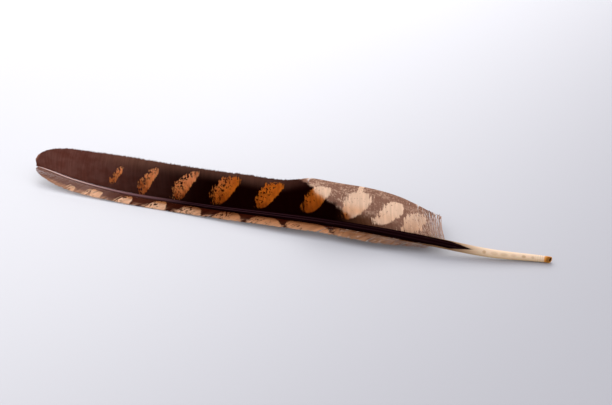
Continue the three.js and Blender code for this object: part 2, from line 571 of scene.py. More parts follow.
class BarbNodes(Nodes):
    """The tree of nodes that lays barbs on a guide sheet."""

    def __init__(self, name, slits):
        super().__init__(bpy.data.node_groups.new(name, "GeometryNodeTree"))
        self.socket("Sheet", "Geometry")
        self.socket("Material", "Material")
        for label, default in BARB_INPUTS.items():
            kind = "Int" if isinstance(default, int) else "Float"
            self.socket(label, kind).default_value = default
        self.socket("Barbs", "Geometry", "OUTPUT")
        self.source = self.add("NodeGroupInput")
        shape = self.lay(self.repeat(self.template()), slits)
        shape = self.made("GeometryNodeSetShadeSmooth", {"Geometry": shape})
        rim = abs(self.stored("side")) > 0.99
        values = {"Geometry": shape, "Selection": rim, "Shade Smooth": False}
        shape = self.made("GeometryNodeSetShadeSmooth", values, {"domain": "EDGE"})
        values = {"Geometry": shape, "Material": self.source.outputs["Material"]}
        self.add("NodeGroupOutput", values={0: self.made("GeometryNodeSetMaterial", values)})

    def socket(self, name, kind, side="INPUT"):
        """A new input or output of the tree."""
        face = self.tree.interface
        return face.new_socket(name=name, in_out=side, socket_type="NodeSocket" + kind)

    def size(self, label):
        """One of the tree's inputs."""
        return self.value(self.source, label)

    def stored(self, name, kind="FLOAT"):
        """A number, or with kind FLOAT_VECTOR a place or direction, stored earlier."""
        settings = {"data_type": kind}
        return self.value(self.add("GeometryNodeInputNamedAttribute", settings, {"Name": name}))

    def keep(self, shape, name, value, kind="FLOAT", domain="POINT"):
        """Stores a value under a name and returns the shape that holds it."""
        values = {"Geometry": shape, "Name": name, "Value": value}
        settings = {"data_type": kind, "domain": domain}
        return self.made("GeometryNodeStoreNamedAttribute", values, settings)

    def template(self):
        """One closed barb, lying straight: an upper and a lower strip, joined along both edges."""
        joined = self.add("GeometryNodeJoinGeometry")
        for under in (0, 1):
            rings = self.size("Segments") + 1
            strip = self.made("GeometryNodeMeshGrid", {0: 1.0, 1: 2.0, 2: rings, 3: 3})
            if under:
                strip = self.made("GeometryNodeFlipFaces", {"Mesh": strip})
            strip = self.keep(strip, "under", float(under), domain="FACE")
            place = self.made("GeometryNodeInputPosition")
            place = self.add("ShaderNodeSeparateXYZ", values={0: place})
            run = 1 - (0.5 - self.value(place, 0)) ** RING_CROWDING
            side = self.value(place, 1)
            crown = (1 - abs(side)) * (1 - 2 * under)
            for name, value in (("run", run), ("side", side), ("crown", crown)):
                strip = self.keep(strip, name, value)
            inside = (run > 0.001) * (run < 0.999)
            shape = self.vector(run, side * inside, crown * inside)
            strip = self.made("GeometryNodeSetPosition", {"Geometry": strip, "Position": shape})
            self.tree.links.new(strip, joined.inputs[0])
        values = {"Geometry": joined.outputs[0], "Distance": 0.0001}
        return self.made("GeometryNodeMergeByDistance", values)

    def repeat(self, barb):
        """Copies of the barb, each with its number."""
        values = {"Count": self.size("Barbs"), "Offset": (0, 0, 0)}
        line = self.made("GeometryNodeMeshLine", values, {"mode": "OFFSET"})
        points = self.keep(line, "barb", self.made("GeometryNodeInputIndex"))
        copies = self.made("GeometryNodeInstanceOnPoints", {"Points": points, "Instance": barb})
        return self.made("GeometryNodeRealizeInstances", {"Geometry": copies})

    def lay(self, shape, slits):
        """Bends each barb to its own path on the sheet."""
        size = self.size
        run = self.stored("run")
        side = self.stored("side")
        barb = self.stored("barb")
        seed = size("Seed")
        part = (barb + 0.5) / size("Barbs")
        span = size("Last root") - size("First root")
        crowding = size("Crowding")
        root = size("First root") + span * part ** crowding
        pitch = span * crowding / size("Barbs") * part ** (crowding - 1)
        loose = self.smooth(root, size("Loose from"), size("Last root"))

        # The barb's width tapers to nothing in the shaft and at its own tip.
        taper = self.smooth(run, 0, 0.04) * self.smooth(run, 0.955, 1, 1, 0)
        here = root + side * taper * (pitch / 2 * size("Cover") * (1 - 0.55 * loose))

        # Its path on the flat vane: it leaves the shaft at a slant and bends to stand out squarely.
        sweep = size("Sweep at tip")
        sweep = sweep + (size("Sweep at base") - sweep) * root / LENGTH
        behind_tip = here * (here + size("Fan") - sweep) / (here + size("Fan"))
        end = self.either(behind_tip + size("Tip start"), size("Tip cut"))
        short = self.either(1 - behind_tip / size("Tip length"), 0)
        blunt = size("Tip bluntness")
        full = (1 - self.math("MINIMUM", short, 1) ** blunt) ** (1 / blunt)
        end = end + size("Tip rounding") * self.smooth(full, 0, 0.22, 1, 0)
        clump = self.cloud(barb * 0.13, run * 1.2, seed, detail=1) - 0.5
        ragged = size("Ragged ends") * self.smooth(root, *ENDS_FRAY, 1, 2.2)
        going = run * (1 - ragged * (self.scatter(barb + seed * 1000) + 2 * abs(clump)))
        start = here + SHAFT_START
        bend = size("Bend")
        x = start - (start - end) * (going * (1 + bend - bend * going))
        out = full * going * size("Reach")

        # Barbs cling in clumps, wander a little, and come apart at the slits and near the base.
        own = self.cloud(barb * 7.3, run * 2.5, seed, detail=1) - 0.5
        rise = self.cloud(barb * 5.9, run * 2.5, seed + 7, detail=1) - 0.5
        x = x + size("Wave") * run * (3 * clump + own)
        x = x + size("Loose wave") * loose * run * (own * 2 + clump)
        lift = size("Wave") * 0.4 * run * rise
        lift = lift + size("Loose lift") * loose * run * (rise * 2 + clump)
        parted = 0.0
        for place, opens, push, spread, stand in slits:
            gap = root - place * MM
            facing = (gap > 0) * 2 - 1
            near = self.math("EXPONENT", abs(gap) * (-1 / (spread * MM)))
            apart = self.smooth(run, opens, 1.15) * near
            x = x + facing * apart * (push * MM)
            lift = lift + apart * (stand * MM)
            parted = parted + apart

        # The sheet says where the flat place is, which way is up there and how far out it is.
        flat_x = (x - SHEET_START) / (SHEET_END - SHEET_START)
        flat = self.vector(flat_x, (out - SHEET_LOW) / (SHEET_HIGH - SHEET_LOW))
        flat_map = self.stored("flat", "FLOAT_VECTOR")
        sampled = []
        for kind, wanted in (
            ("FLOAT_VECTOR", self.made("GeometryNodeInputPosition")),
            ("FLOAT_VECTOR", self.stored("upward", "FLOAT_VECTOR")),
            ("FLOAT", self.stored("reach")),
        ):
            values = {"Mesh": self.source.outputs["Sheet"], 1: wanted, 2: flat_map, 3: flat}
            sampled.append(self.made("GeometryNodeSampleUVSurface", values, {"data_type": kind}))
        deep = size("Depth") * (1 - 0.5 * run) * self.stored("crown") * taper
        height = deep + size("Tilt") * side * taper + lift
        values = {0: sampled[1], "Scale": height}
        raised = self.made("ShaderNodeVectorMath", values, {"operation": "SCALE"})
        values = {0: sampled[0], 1: raised}
        final = self.made("ShaderNodeVectorMath", values, {"operation": "ADD"})

        # What the finish and the bake need to know. It is stored before the points move.
        columns = self.math("CEIL", size("Barbs") / BAKE_ROWS)
        row = self.math("FLOOR", barb / columns)
        bake_u = (barb - row * columns + 0.5 + side * 0.46) / columns
        bake_v = (row * 2 + self.stored("under") + 0.01 + run * 0.98) / (2 * BAKE_ROWS)
        shape = self.keep(shape, "OFBake", self.vector(bake_u, bake_v), "FLOAT2", "CORNER")
        for name, value in (("reach", sampled[2]), ("along", x), ("parted", parted)):
            shape = self.keep(shape, name, value)
        shape = self.made("GeometryNodeSetPosition", {"Geometry": shape, "Position": final})
        for name in ("crown", "under"):
            shape = self.made("GeometryNodeRemoveAttribute", {"Geometry": shape, "Name": name})
        return shape


def grow_barbs(name, vane, slits, material, sizes):
    """A plain mesh of barbs on one vane. sizes gives the tree's inputs by their labels."""
    helper = guide_sheet(vane, name + " sheet")
    group = BarbNodes(name + " barbs", slits).tree
    modifier = helper.modifiers.new("Barbs", "NODES")
    modifier.node_group = group
    items = group.interface.items_tree
    sockets = {item.name: item.identifier for item in items if item.in_out == "INPUT"}
    modifier[sockets["Material"]] = material
    for label, size in sizes.items():
        modifier[sockets[label]] = size
    depsgraph = bpy.context.evaluated_depsgraph_get()
    source = helper.evaluated_get(depsgraph)
    mesh = bpy.data.meshes.new_from_object(
        source, preserve_all_data_layers=True, depsgraph=depsgraph
    )
    mesh.name = name
    bpy.data.objects.remove(helper)
    return link_piece(name, mesh)


# Finishes. In them x is how many millimetres along the feather a place is, from its tip, and out is
# how many millimetres out from the shaft's middle. Pairs are where a change along x starts and
# ends. Colours are linear.

TO_MM = 1000
BARB_RELIEF = 0.05 * MM
BLACK = (0, 0, 0)

FEWER_SPECKS = (135, 195)
TORN_BARS = (232, 242)
RAGGED_ROUND = 195  # bars beyond this are ragged on their quill side too
NARROWEST = 0.2  # of a bar, as a share of its width in the middle


def bars(web, table, x, out, barb, blunt):
    """Where the bars are, from 0 to 1. Their tip side is ragged and specked, barb by barb."""
    tooth = web.cloud(barb * 0.55, out * 0.06, 3.0, detail=1) - 0.5
    single = web.scatter(barb) - 0.5
    patch = web.cloud(x * 0.25, out * 0.25, 9.0) - 0.5
    ragged = (tooth * 6 + single * 1.6 + patch * 5 + 0.7) * web.smooth(x, *TORN_BARS, 1, 1.9)
    speck = web.cloud(x * 0.8 + out * 0.3, out * 0.5, barb * 0.08, roughness=0.6)
    speck = speck - web.smooth(x, *FEWER_SPECKS, 0.0, 0.10)
    total = None
    for starts, ends, middle, half, lean, curve, widen in table:
        outward = (out - (starts + ends) / 2) * (2 / (ends - starts))
        centre = middle + lean * outward + curve * outward * outward
        width = web.either(1 + widen * outward, NARROWEST)
        sideways = (x - centre) / (half * width)
        tip_side = web.smooth(sideways, -0.3, 0.8, 1, 0.3 if middle < RAGGED_ROUND else 0.6)
        edge = abs(sideways + ragged * tip_side * (1 / half))
        shape = edge ** 2.1 + abs(outward + ragged * (0.5 / (ends - starts))) ** blunt
        holes = web.smooth(speck + 0.16 * tip_side, 0.665, 0.74)
        bar = web.smooth(shape, 0.82, 1.15, 1, 0) * (1 - holes * tip_side)
        total = bar if total is None else web.either(total, bar)
    return total


WIDE_DIMS = (15, 120)
MARGIN_DIMS = (120, 190)
WARM_STARTS = (25, 60)
WARM_ENDS = (130, 190)
UMBER_STARTS = (198, 224)
MOTTLE_TURN = 186  # the line beyond which the web is mottled bends here
MOTTLE_OUT = 16  # how far out it bends
DARK_AND_SHADED_ENDS = (214, 246)
FLECKS_FADE = (200, 230)
DOWNY_STARTS = (246, 256)
BARS_DEEPEN = (95, 130)
TAN_ENDS = (105, 135)
SHADED_ORANGE_FADES = (212, 226)
BARS_FADE = (234, 244)
SLITS_SHOW = (165, 176)
FRINGE_STARTS = (180, 200)
TIP_EDGE = (-1.2, 0.8)
DUSKY = (0.14, 0.058, 0.045)
WARM = (0.20, 0.088, 0.058)
UMBER = (0.125, 0.046, 0.022)
DOWNY = (0.56, 0.35, 0.26)
BAR_BROWN = (0.05, 0.006, 0.001)
PALE_AND_LIT_ENDS = (0.76, 0.58, 0.47)
RUSTY = (0.42, 0.19, 0.12)


def wide_web_finish(colours):
    """Dark brown web with ragged orange bars, mottled grey-brown with buff bars near the base,
    where the lighter look is partly painted light.
    """
    web = Finish("wide web")
    x, out, barb = web.flat_place()
    barred = bars(web, WIDE_BARS, x, out, barb, 2.4)

    # Beyond a line that runs from its edge to the shaft, towards the base, the web is mottled and
    # lighter: partly its own grey-brown mottling, partly painted light where the web turns up
    # towards the light.
    line = web.either((MOTTLE_TURN - x) * 0.87, (MOTTLE_TURN - x) * 0.42) + MOTTLE_OUT
    beyond = out - line + (web.cloud(x * 0.2, out * 0.2, 5.0) - 0.5) * 8
    # Near the shaft the mottling is held back and the dark ground stays: partly the web's own dark
    # brown, partly painted shade where the web faces away from the light.
    dark_and_shaded_by_shaft = web.smooth(out, 5, 11, 1, 0) * web.smooth(x, *DARK_AND_SHADED_ENDS, 1, 0)
    mottled_and_lit = web.smooth(beyond, -1.5, 1.5) * (1 - dark_and_shaded_by_shaft)
    cloud = web.cloud(x * 0.09, out * 0.12, 2.0)
    dash = web.cloud(barb * 0.9, out * 0.8 + x * 0.5, 1.0, roughness=0.6)
    blot = web.cloud(barb * 0.32, out * 0.45, 6.0, roughness=0.6)
    flecks = web.smooth(dash * 0.62 + blot * 0.38 + (cloud - 0.5) * 0.45, 0.49, 0.60)
    downy = web.smooth(x + (blot - 0.5) * 20, *DOWNY_STARTS) * web.smooth(out, 4, 9)
    grey = web.coats(
        colours.mottle_and_sheen,
        (flecks * web.smooth(x, *FLECKS_FADE, 0.48, 0.24), colours.buff),
        (downy * 0.4, DOWNY),
    )

    # Brown between the bars: darker along the feather, and less so at its free edge.
    dusky = web.cloud(x * 0.10, out * 0.16, 8.0)
    warm = web.smooth(out, 13, 24) * web.smooth(x, *WARM_STARTS) * web.smooth(x, *WARM_ENDS, 1, 0)
    margin = web.smooth(out, 17, 29) * web.smooth(x, *MARGIN_DIMS, 1, 0.3)
    dim = web.smooth(x, *WIDE_DIMS) * (1 - 0.6 * margin)
    ground = web.coats(
        colours.ground,
        (web.smooth(dusky, 0.35, 0.65) * 0.5, DUSKY),
        (warm * 0.65, WARM),
        (dim ** 0.7, colours.deep),
        (web.smooth(x, *UMBER_STARTS) * 0.75, UMBER),
        (mottled_and_lit, grey),
    )

    # The bars are orange on the brown and buff where the web is mottled. The buff is partly painted
    # light, the lit side of the same bars, and the orange kept near the shaft there is painted
    # shade.
    # Painted light: the bars turn buff where the web turns up towards the light.
    lit_paler = web.smooth(beyond, -5.5, 3.5)
    # The bars are darker in random blotches and towards the shaft.
    blotches = web.cloud(barb * 0.45, out * 0.16, 7.0, roughness=0.6)
    darker = web.smooth(blotches, 0.42, 0.62, 0, 0.5) + web.smooth(out, 3, 15, 0.55, 0)
    # Painted shade: the bars stay orange near the shaft where the web faces away from the light.
    shaded_orange = web.smooth(out, 5, 16, 0.8, 0) * web.smooth(x, *SHADED_ORANGE_FADES, 1, 0.4)
    bar = web.coats(
        colours.bar,
        (web.smooth(x, *BARS_DEEPEN), colours.deep_bar),
        (web.smooth(lit_paler, 0.0, 0.5), colours.bar),
        (web.smooth(out, 9, 20, 0, 0.2) * web.smooth(x, *TAN_ENDS, 1, 0), colours.buff),
        (darker, BAR_BROWN),
        (web.smooth(lit_paler, 0.3, 1.0), colours.buff),
        (shaded_orange * mottled_and_lit, colours.bar),
    )

    strand = web.cloud(barb * 0.33, out * 0.07, 4.0, detail=1)
    hair = web.scatter(barb + 0.5)
    # Pale parted barbs and barb ends along the free edge, lightened further as a painted highlight.
    parted = web.smooth(web.measure("parted"), 0.2, 0.6) * web.smooth(x, *SLITS_SHOW)
    pale_and_lit_edge = web.smooth(web.measure("run"), 0.93, 0.99) * web.smooth(x, *FRINGE_STARTS)
    colour = web.coats(
        ground,
        (barred * web.smooth(x, *BARS_FADE, 1, 0.62), bar),
        (web.smooth(strand + (hair - 0.5) * 0.25, 0.25, 0.75, 0.0, 0.22), BLACK),
        # Painted highlight on the parted barbs and the free edge, over their own pale colour.
        (parted * 0.7 + pale_and_lit_edge * 0.35, PALE_AND_LIT_ENDS),
        (web.smooth(x, *TIP_EDGE, 0.6, 0), RUSTY),
    )
    share = barred * (0.5 - 0.42 * lit_paler) + 0.01
    return web.end_thin(web.matt_barbs(colour), colours.glow, share)


NARROW_DIMS = (40, 75)
NARROW_DARKENS = (70, 100)
NARROW_BASE_STARTS = (200, 225)
SPECKLES_END = (50, 66)
FLUFF_STARTS = (198, 212)
PATCHES_DEEPEN = (75, 135)
SHADE_STARTS = (75, 120)
GLOW_FADES = (75, 130)
NARROW_TIP = (0.20, 0.105, 0.083)
NARROW_MIDDLE = (0.055, 0.011, 0.007)
NARROW_DARK = (0.012, 0.001, 0.0005)
NARROW_BASE = (0.16, 0.050, 0.018)
SPECKLE = (0.50, 0.26, 0.155)
CREAM = (1.0, 0.69, 0.45)
RUST = (0.44, 0.150, 0.042)
STREAK = (0.09, 0.028, 0.012)
SHAFT_SHADOW = (0.035, 0.004, 0.001)
FLUFF = (0.22, 0.085, 0.030)
NARROW_GLOW = (1.0, 0.66, 0.42)


def narrow_web_finish(colours):
    """Grey-brown web with buff patches, orange where it is dark between them."""
    web = Finish("narrow web")
    x, out, barb = web.flat_place()
    patches = bars(web, NARROW_BARS, x, out, barb, 5.0)
    blot = web.cloud(barb * 0.16, out * 0.3, 5.0)
    grit = web.cloud(barb * 0.7, out * 1.1, 2.0, roughness=0.6)
    speckled = web.smooth(x, *SPECKLES_END, 1, 0)
    speckled = speckled * web.smooth(grit + (out - 5.5) * 0.12, 0.50, 0.60)
    edge = web.smooth(out, 4.5, 7.0) * web.smooth(blot, 0.47, 0.57)
    ground = web.coats(
        NARROW_TIP,
        (web.smooth(x, *NARROW_DIMS), NARROW_MIDDLE),
        (web.smooth(x, *NARROW_DARKENS, 0, 0.85), NARROW_DARK),
        (web.smooth(x, *NARROW_BASE_STARTS, 0, 0.7), NARROW_BASE),
        (web.either(edge, speckled * 0.8), SPECKLE),
    )
    deeper = web.smooth(x, *PATCHES_DEEPEN, 0, 0.85) * web.smooth(out, 4.5, 8.5, 1, 0.65)
    patch = web.coats(colours.bar, (web.smooth(out, 1.8, 4.2), CREAM), (deeper, RUST))
    fluffy = web.smooth(x + (blot - 0.5) * 20, *FLUFF_STARTS)
    pale = fluffy * web.smooth(blot, 0.38, 0.58, 0.15, 0.75)
    pale = web.either(patches * (1 - 0.4 * fluffy), pale)
    strand = web.cloud(barb * 0.33, out * 0.12, 4.0, detail=1)
    single = (web.scatter(barb + 0.5) - 0.5) * 0.35
    colour = web.coats(
        ground,
        (pale, patch),
        (web.smooth(strand + single, 0.25, 0.75) * (0.42 + 0.4 * fluffy), STREAK),
        # Painted shadow that the shaft casts on the web along its side.
        (web.smooth(out, 1.8, 5.0, 0.7, 0) * web.smooth(x, *SHADE_STARTS), SHAFT_SHADOW),
        (fluffy * 0.3, FLUFF),
    )
    share = pale * web.smooth(x, *GLOW_FADES, 0.42, 0.24) + 0.02
    return web.end_thin(web.matt_barbs(colour), NARROW_GLOW, share)


PALE_DOWN = (0.72, 0.55, 0.42)
BROWN_DOWN = (0.45, 0.30, 0.22)
DOWN_ENDS = (0.85, 0.72, 0.6)
DOWN_GLOW = (1.0, 0.8, 0.62)


def down_finish():
    """Pale, soft, loose barbs."""
    down = Finish("down")
    each = down.paint(down.scatter(down.measure("barb")), PALE_DOWN, BROWN_DOWN)
    colour = down.paint(down.smooth(down.measure("run"), 0.2, 0.9, 0, 0.5), each, DOWN_ENDS)
    shader = down.surface(Base_Color=colour, Roughness=0.75, Specular_IOR_Level=0.25)
    return down.end_thin(shader, DOWN_GLOW, 0.3)


PALE_TIP_END = 6
DARK_START = 76
DARK_HORN_STARTS = (62, 112)
RIDGE_HIGHLIGHT_FADES = (110, 250)
DARK_NARROWS = (222, 262)
DARK_TAPERS = (264, 283)
PALE_GROWS = (60, 250)
UMBER_ENDS = (264, 290)
DULL_ENDS = (262, 296)
PULP_CAPS = (  # the middle, half length and darkness of each mark
    (285.0, 1.1, 0.6),
    (290.5, 2.0, 0.3),
    (295.5, 1.9, 0.35),
    (300.5, 1.9, 0.25),
    (306.0, 1.1, 0.6),
    (310.5, 1.0, 0.4),
)
RINGS_START = (311.5, 312.5)
RIM_STARTS = (316.5, 317.7)
DARK_END = (317.6, 319.2)
HOLE_SHADE_STARTS = (320.05, 320.6)
HORN_RELIEF = 0.04 * MM
GRAIN_SCALE = (60, 1500, 1500)
CLOUD_SCALE = 130
TIP_PINK = (0.80, 0.52, 0.45)
TIP_BROWN = (0.17, 0.085, 0.09)
SHADED_FLANK = (0.085, 0.032, 0.030)
RIDGE_HIGHLIGHT = (0.030, 0.011, 0.014)
SCRATCH = (0.10, 0.06, 0.06)
QUILL_SHADES = {
    "cloudy": (0.62, 0.42, 0.26),
    "above": (0.78, 0.60, 0.45),
    "shaded_below": (0.70, 0.47, 0.21),
    "umber": (0.11, 0.040, 0.016),
    "dull": (0.50, 0.31, 0.16),
    "cap": (0.36, 0.20, 0.09),
    "rings": (0.42, 0.27, 0.14),
    "rim": (0.55, 0.22, 0.04),
    "dark_end_top": (0.10, 0.035, 0.010),
    "inside": (0.03, 0.010, 0.005),
}


def shaft_finish(colours):
    """Horn: pinkish at the tip, nearly black along the vanes, ivory on the bare quill."""
    horn = Finish("shaft horn")
    x = horn.measure("along") * TO_MM
    off_top = horn.measure("off_top")
    place = horn.place()
    grain = horn.noise(
        horn.made("ShaderNodeMapping", {"Vector": place, "Scale": GRAIN_SCALE}), 1, 2
    )
    cloud = horn.noise(place, CLOUD_SCALE, 2)
    # A thin painted highlight on the dark horn, along a line just off the top of the shaft.
    ridge = horn.smooth(abs(off_top - 0.10), 0.02, 0.06, 1, 0)
    ridge = ridge * horn.smooth(x, *RIDGE_HIGHLIGHT_FADES, 1, 0.25)
    dark = horn.coats(
        TIP_PINK,
        (horn.smooth(x, PALE_TIP_END, DARK_START), TIP_BROWN),
        # Painted shade on the flanks, which leaves the pale tip colour only as a thin painted
        # highlight along the top.
        (horn.smooth(off_top, 0.06, 0.20, 0, 0.85), SHADED_FLANK),
        (horn.smooth(x, *DARK_HORN_STARTS), horn.paint(ridge, colours.horn, RIDGE_HIGHLIGHT)),
        (horn.smooth(grain, 0.66, 0.76, 0, 0.12), SCRATCH),
    )

    # The dark upper side narrows to a point on the quill.
    limit = horn.smooth(x, *DARK_NARROWS, 0.65, 0.30) - horn.smooth(x, *DARK_TAPERS, 0, 0.36)
    past = off_top - (limit + (cloud - 0.5) * 0.12)
    pale = horn.smooth(past, -0.035, 0.05) * horn.smooth(x, *PALE_GROWS, 0.15, 1)
    shades = QUILL_SHADES
    umber = horn.smooth(past, 0.05, 0.45, 0.95, 0.7) * horn.smooth(x, *UMBER_ENDS, 1, 0)
    ivory = horn.coats(
        colours.quill,
        (cloud * 0.6, shades["cloudy"]),
        # Painted light and shade: paler where the quill faces up, darker and yellower where it
        # faces down.
        (horn.smooth(horn.height(), -0.2, 0.9, 0, 0.6), shades["above"]),
        (horn.smooth(horn.height(), -0.9, -0.1, 0.6, 0), shades["shaded_below"]),
        (umber, shades["umber"]),
        (horn.smooth(x, *DULL_ENDS, 0.3, 0), shades["dull"]),
    )
    for middle, half, darkness in PULP_CAPS:
        far = (x - middle + (cloud - 0.5) * 3) / half
        spot = far * far + (off_top * 7) ** 2
        ivory = horn.paint(horn.smooth(spot, 0.1, 1.6, darkness, 0), ivory, shades["cap"])
    rings = horn.smooth(horn.math("SINE", x * 5.2), 0.2, 1) * horn.smooth(x, *RINGS_START)
    # Darker on the upper side at the very end of the quill.
    dark_end_top = horn.smooth(x, *DARK_END, 0, 0.7) * horn.smooth(off_top, 0.22, 0.36, 1, 0)
    ivory = horn.coats(
        ivory,
        (rings * 0.35, shades["rings"]),
        (horn.smooth(x + (cloud - 0.5) * 1.5, *RIM_STARTS), shades["rim"]),
        (dark_end_top, shades["dark_end_top"]),
        # Painted shade inside the hole in the quill's end.
        (horn.smooth(x, *HOLE_SHADE_STARTS), shades["inside"]),
    )
    return horn.end(horn.surface(
        Base_Color=horn.paint(pale, dark, ivory),
        Roughness=horn.smooth(grain, 0.3, 0.8, 0.45, 0.6), Specular_IOR_Level=0.0,
        Normal=horn.relief(grain * 0.5 + rings * 0.5, HORN_RELIEF, 0.5),
        Subsurface_Weight=0.12, Subsurface_Scale=0.0012,
    ))


# Painted shade: where the floor goes from its lit colour to its darker one.
FLOOR_SHADE_FADES = (-0.16, 0.25)  # metres along
FLOOR_LIT = (0.525, 0.517, 0.535)
FLOOR_SHADED = (0.333, 0.326, 0.350)


def floor_finish():
    """Matt pale floor, painted darker towards the quill as painted shade where less light falls."""
    floor = Finish("pale floor")
    place = floor.add("ShaderNodeSeparateXYZ", values={0: floor.place()})
    away = floor.value(place, 0) - floor.value(place, 1) * 0.12
    colour = floor.paint(floor.smooth(away, *FLOOR_SHADE_FADES), FLOOR_LIT, FLOOR_SHADED)
    return floor.end(floor.surface(Base_Color=colour, Roughness=0.55, Specular_IOR_Level=0.3))


# The shaft.

SHAFT_RINGS = 230
SHAFT_SIDES = 32
SHAFT_SHRINK = 0.97  # keeps the squarish section about as thick as the round one
POINT_LENGTH = 5 * MM  # the shaft grows from a point over this length
POINT_SIZE = 0.02
RING_MARGIN = 1 * MM  # the first ring is this far before the shaft's start
ROUND_POWER = 2  # the section's outline, as the power of a superellipse
SQUARE_MORE = 0.9  # how much is added to that power where the section is squarish
SQUARE_FADES = (210, 270)  # where the section turns round, in millimetres along
GROOVE_FADES = (210, 250)
GROOVE_DEPTH = 0.30  # of the underside's groove, as a share of the half thickness
GROOVE_WIDTH = 20  # in degrees
END_ROUNDING = 0.6 * MM
RIM_ROUNDING = (0.985, 0.93, 0.8, 0.68)
END_CUT = 0.5  # the quill's end is cut at a slant: millimetres along for each millimetre across
END_CUT_START = 316.5 * MM
END_CUT_LENGTH = 2 * MM
HOLE_WIDTH = 0.62
HOLE_RINGS = (0.15, 0.5, 1.0)  # as shares of its depth
HOLE_TAPER = 0.12


def ramp(distance, length):
    """Goes evenly from 0 to 1 over a length."""
    return min(max(distance / length, 0), 1)


def fade(x, starts, ends):
    """Goes evenly from 1 to 0."""
    return ramp(ends - x, ends - starts)


def shaft_section(share):
    """Half the shaft's thickness, the power of its outline and how deep its groove is."""
    half = float(along(SHAFT_THICKNESS, share)) / 2 * MM
    x = share * LENGTH / MM
    power = ROUND_POWER + SQUARE_MORE * fade(x, *SQUARE_FADES)
    return half, power, GROOVE_DEPTH * fade(x, *GROOVE_FADES)


def shaft_stops(hole_depth):
    """Rings from the tip to the quill's end, round the rim and down the hole.

    Each has its share of the length, its scale and how far down the hole it is.
    """
    stops = []
    first = (SHAFT_START - RING_MARGIN) / LENGTH
    for index in range(SHAFT_RINGS + 1):
        share = first + (1 - first) * index / SHAFT_RINGS
        if share < 1 - END_ROUNDING / LENGTH:
            stops.append((share, 1.0, 0.0))
    for index, scale in enumerate(RIM_ROUNDING):
        turn = (index + 1) / len(RIM_ROUNDING)
        back = END_ROUNDING * (1 - math.sin(turn * math.pi / 2))
        stops.append((1 - back / LENGTH, scale, 0.0))
    for part in HOLE_RINGS:
        depth = hole_depth * part
        stops.append((1 - depth / LENGTH, HOLE_WIDTH * (1 - HOLE_TAPER * part), depth))
    return stops


def shaft_ring(share, scale, depth):
    """The points of one ring, and how far round from the shaft's top each is, from 0 to 1."""
    half, power, groove = shaft_section(share)
    x = share * LENGTH
    turn = TURN + QUILL_TURN * ramp(x / MM - QUILL_TURN_START, QUILL_TURN_LENGTH)
    grow = max(ramp(x - SHAFT_START + RING_MARGIN, POINT_LENGTH), POINT_SIZE) ** 0.5
    cut = 1 if depth else ramp(x - END_CUT_START, END_CUT_LENGTH)
    centre = shaft_point(np.array(share))
    across, upward = shaft_frame(np.array(share))
    points = []
    off_top = []
    for side in range(SHAFT_SIDES):
        angle = 2 * math.pi * side / SHAFT_SIDES
        sine = math.sin(angle)
        outwards = across * math.cos(angle + turn) + upward * math.sin(angle + turn)
        round_off = (abs(sine) ** power + abs(math.cos(angle)) ** power) ** (-1 / power)
        from_bottom = math.degrees(math.acos(-sine))
        dent = 1 - groove * math.exp(-((from_bottom / GROOVE_WIDTH) ** 2))
        point = centre + outwards * (half * scale * grow * round_off * dent * SHAFT_SHRINK)
        point[0] += END_CUT * cut * (point[1] - centre[1])
        points.append(point)
        off_top.append(math.acos(sine) / math.pi)
    return points, off_top


def make_shaft(hole_depth, material):
    """The shaft as one closed skin, with its lengthwise place and off_top stored for the finish."""
    points = []
    run = []
    off_top = []
    stops = shaft_stops(hole_depth)
    for share, scale, depth in stops:
        ring, from_top = shaft_ring(share, scale, depth)
        points += ring
        off_top += from_top
        run += [share * LENGTH + 2 * depth] * SHAFT_SIDES
    pairs = [(side, (side + 1) % SHAFT_SIDES) for side in range(SHAFT_SIDES)]
    last = (len(stops) - 1) * SHAFT_SIDES
    faces = []
    for first in range(0, last, SHAFT_SIDES):
        above = first + SHAFT_SIDES
        faces += [(first + a, first + b, above + b, above + a) for a, b in pairs]
    for first, order in ((0, -1), (last, 1)):
        middle = len(points)
        points.append(np.mean(points[first:first + SHAFT_SIDES], axis=0))
        run.append(run[first])
        off_top.append(0.5)
        faces += [(middle, *(first + a, first + b)[::order]) for a, b in pairs]
    piece = new_piece("shaft_and_quill", points, faces)
    store(piece, "along", run)
    store(piece, "off_top", off_top)
    piece.data.materials.append(material)
    piece.data.shade_smooth()
    return piece


def hand_over(piece, node=None):
    """Tells the frame what a finished piece belongs to."""
    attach(piece, "root")
    if node:
        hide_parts(node)


# One operator for each piece.


class FEATHER_OT_shaft(bpy.types.Operator):
    """Make the shaft, with its bare quill and the hole in its end"""

    bl_idname = "feather.shaft"
    bl_label = "Shaft and quill"

    def execute(self, context):
        scene = context.scene
        finish = shaft_finish(scene.feather_colours)
        piece = make_shaft(scene.feather_sizes.hole_depth, finish)
        hand_over(piece, "shaft")
        return {"FINISHED"}


class FEATHER_OT_wide_web(bpy.types.Operator):
    """Lay the barbs of the wide vane"""

    bl_idname = "feather.wide_web"
    bl_label = "Wide vane"

    def execute(self, context):
        sizes = context.scene.feather_sizes
        finish = wide_web_finish(context.scene.feather_colours)
        piece = grow_barbs("wide_web", WIDE_VANE, WIDE_SLITS, finish, {
            "Barbs": sizes.wide_barbs, "Segments": 24, "Depth": sizes.barb_depth,
            "Tilt": sizes.barb_tilt, "Sweep at base": 5.8 * MM, "Bend": 0.5,
            "Loose from": 243 * MM, "Loose wave": 2.6 * MM, "Loose lift": 1.8 * MM, "Seed": 1,
        })
        hand_over(piece, "wide_vane")
        return {"FINISHED"}


